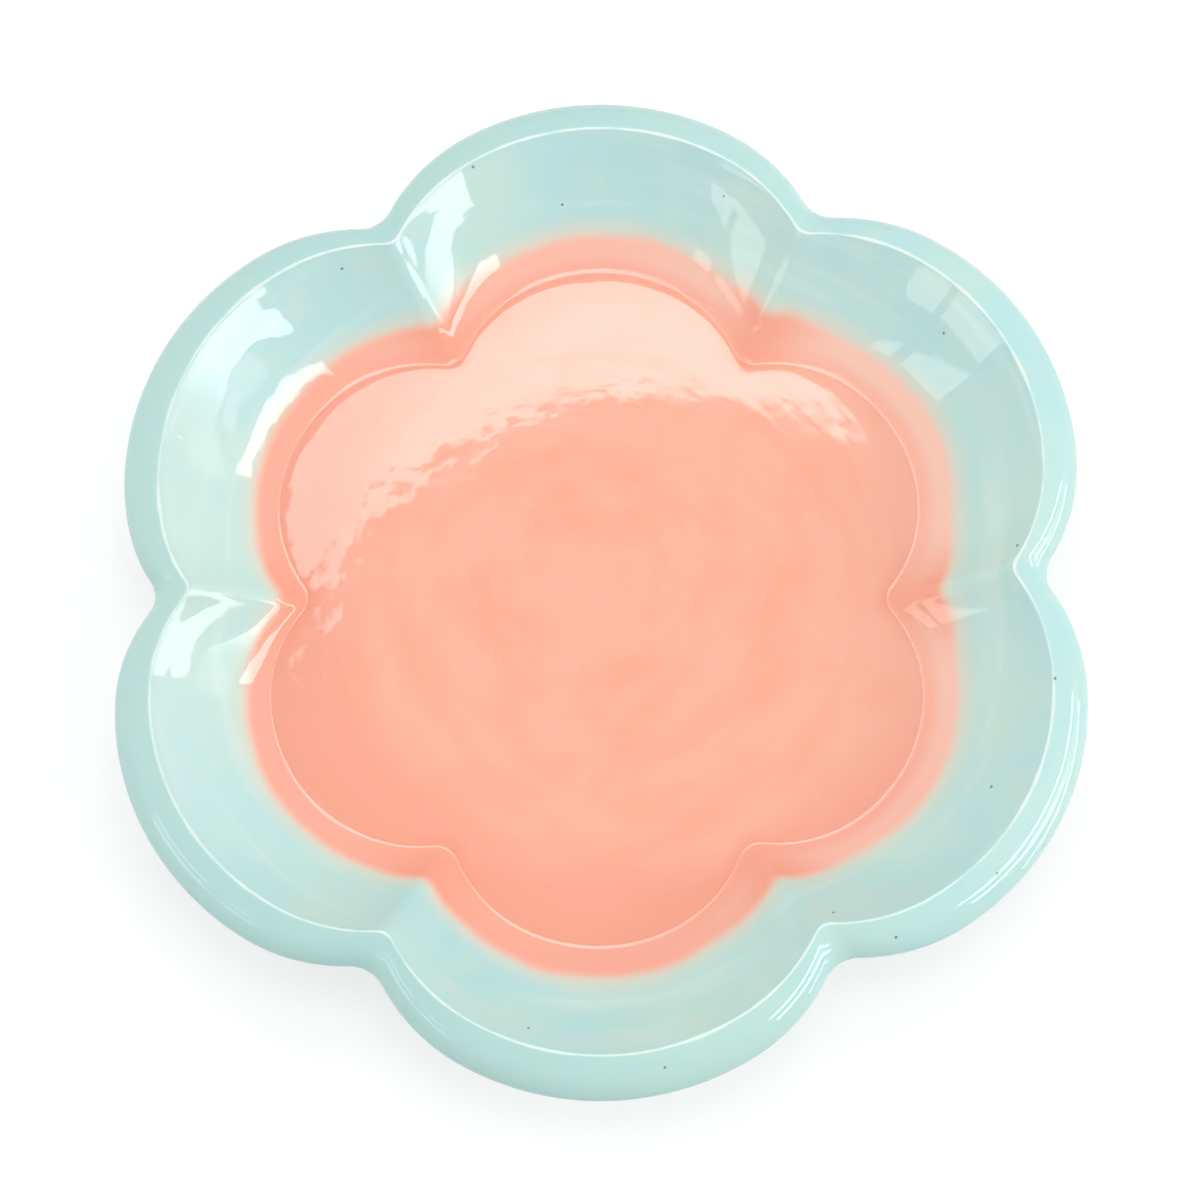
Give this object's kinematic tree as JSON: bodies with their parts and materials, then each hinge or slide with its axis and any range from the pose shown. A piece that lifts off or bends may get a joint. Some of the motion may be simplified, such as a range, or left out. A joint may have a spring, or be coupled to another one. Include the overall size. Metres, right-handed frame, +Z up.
{
  "type": "mixing palette",
  "caption": "Flower-shaped glazed ceramic palette: a flat coral well for mixing paint, inside a scalloped mint wall with a rolled lip, on a bare foot ring.",
  "frame": {"origin": "centre of the circle on which the foot ring stands, on the standing surface", "axes": "+Z up out of the well; one lobe points along -Y and one along +Y; notches lie on +X and -X"},
  "size_m": [0.15, 0.16, 0.0218],
  "materials": {
    "bisque_clay": "bare fired clay, matte",
    "coral_glaze": "high gloss",
    "mint_glaze": "high gloss"
  },
  "bodies": {
    "root": {"clay_body": "bisque_clay", "foot_ring": "bisque_clay", "coral_glaze": "coral_glaze", "mint_glaze_wall": "mint_glaze", "mint_glaze_lip": "mint_glaze", "base_glaze": "mint_glaze"}
  },
  "joints": []
}
